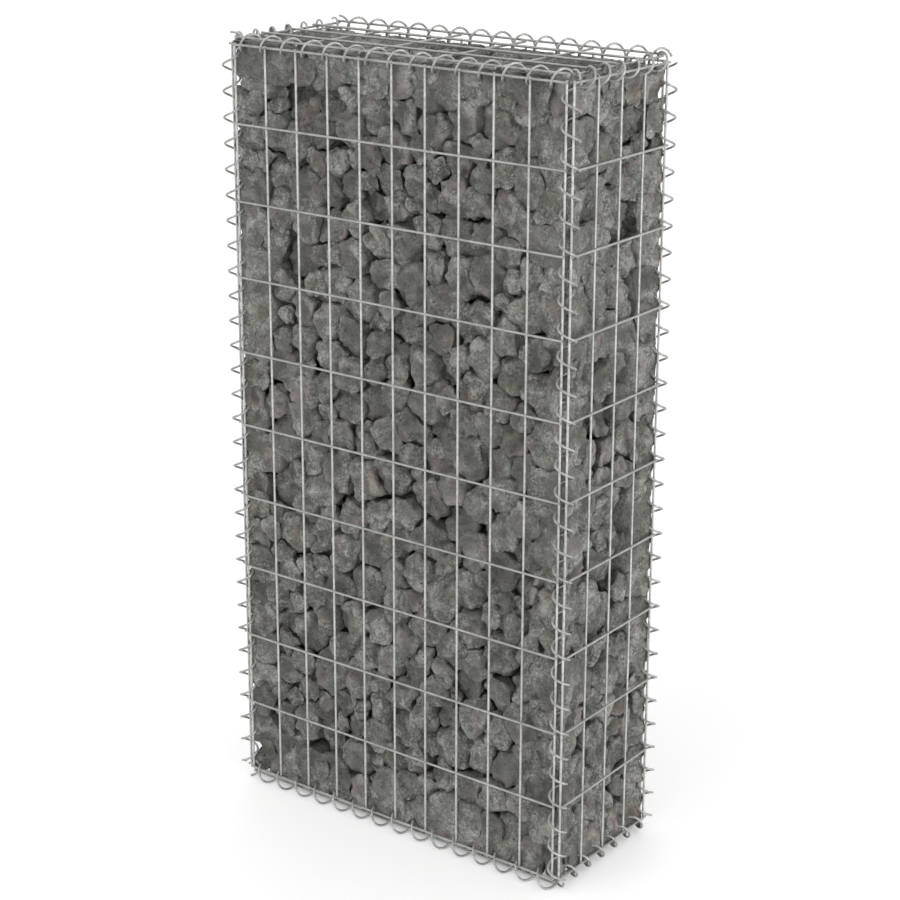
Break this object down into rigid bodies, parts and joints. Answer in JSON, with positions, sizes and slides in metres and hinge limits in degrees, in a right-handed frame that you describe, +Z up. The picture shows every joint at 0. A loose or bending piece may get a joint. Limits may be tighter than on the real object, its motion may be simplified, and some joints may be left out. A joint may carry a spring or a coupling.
{
  "type": "gabion wall",
  "caption": "Free-standing gabion wall: an upright welded-mesh basket, laced with binding spirals and filled with broken stone.",
  "frame": {"origin": "on the floor under the middle of the basket, at the lowest point of the bottom spirals", "axes": "+X to the right seen from the front, +Y from the front to the back, +Z up"},
  "size_m": [0.5378, 0.234, 1.0335],
  "materials": {
    "mesh_wire": "satin",
    "spiral_wire": "satin",
    "stone": "matte"
  },
  "bodies": {
    "root": {"front_panel": "mesh_wire", "back_panel": "mesh_wire", "left_panel": "mesh_wire", "right_panel": "mesh_wire", "lid_panel": "mesh_wire", "base_panel": "mesh_wire", "spiral_front_left": "spiral_wire", "spiral_front_right": "spiral_wire", "spiral_back_left": "spiral_wire", "spiral_back_right": "spiral_wire", "spiral_top_front": "spiral_wire", "spiral_top_back": "spiral_wire", "spiral_top_left": "spiral_wire", "spiral_top_right": "spiral_wire", "spiral_bottom_front": "spiral_wire", "spiral_bottom_back": "spiral_wire", "spiral_bottom_left": "spiral_wire", "spiral_bottom_right": "spiral_wire", "stone_fill_lower": "stone", "stone_fill_middle": "stone", "stone_fill_upper": "stone"}
  },
  "joints": []
}
